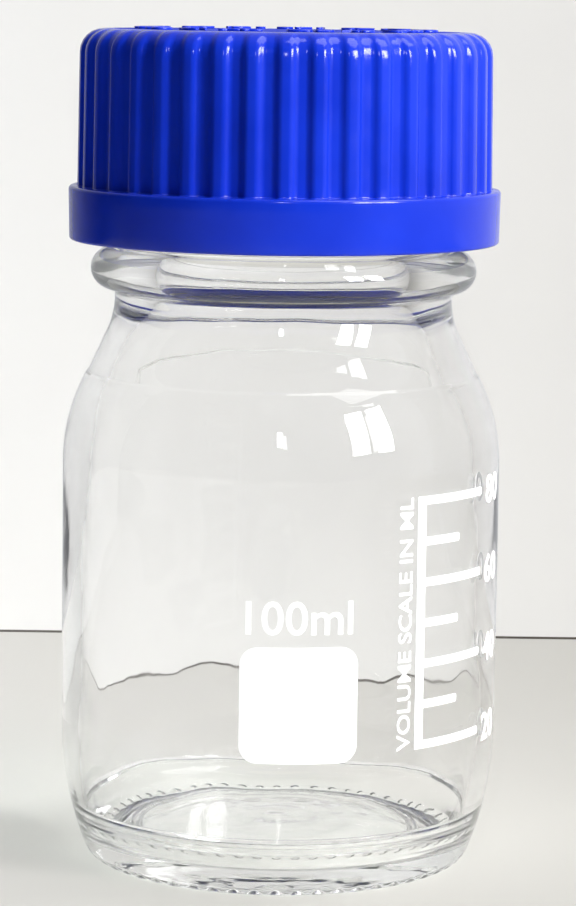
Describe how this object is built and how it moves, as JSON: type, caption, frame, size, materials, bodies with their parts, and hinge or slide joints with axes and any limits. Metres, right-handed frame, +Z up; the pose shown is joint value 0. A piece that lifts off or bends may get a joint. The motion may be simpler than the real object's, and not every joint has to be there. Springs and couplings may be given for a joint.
{
  "type": "reagent bottle",
  "caption": "Small round glass laboratory bottle with a ribbed screw cap, a pouring ring, a sealing disc and a printed volume scale.",
  "frame": {"origin": "on the bottle's axis, in the plane that it stands on", "axes": "+Z up along the bottle's axis; the printed writing panel faces -Y and the volume scale is towards +X"},
  "size_m": [0.056, 0.0561, 0.1063],
  "materials": {
    "glass": "clear polished borosilicate glass, smooth, with fine mould ripple",
    "cap_plastic": "royal blue moulded polypropylene, satin",
    "ring_plastic": "blue moulded polypropylene, satin",
    "seal": "pale silicone faced with fluoropolymer, matt",
    "enamel": "opaque white fired enamel, slightly grainy"
  },
  "bodies": {
    "bottle": {"bottle_glass": "glass", "pouring_ring": "ring_plastic", "writing_panel": "enamel", "capacity_mark": "enamel", "graduation_scale": "enamel"},
    "seal": {"seal_liner": "seal"},
    "cap": {"screw_cap": "cap_plastic"}
  },
  "joints": [
    {"name": "cap_lift", "type": "slide", "parent": "bottle", "child": "seal", "axis": [0, 0, 1], "range_m": [0, 0.0281]},
    {"name": "cap_turn", "type": "hinge", "parent": "seal", "child": "cap", "pos_m": [0, 0, 0.104], "axis": [0, 0, 1], "range_deg": [0, 2520]}
  ],
  "couplings": [
    {"joint": "cap_lift", "follows": "cap_turn", "m_per_rad": 0.00063662}
  ]
}
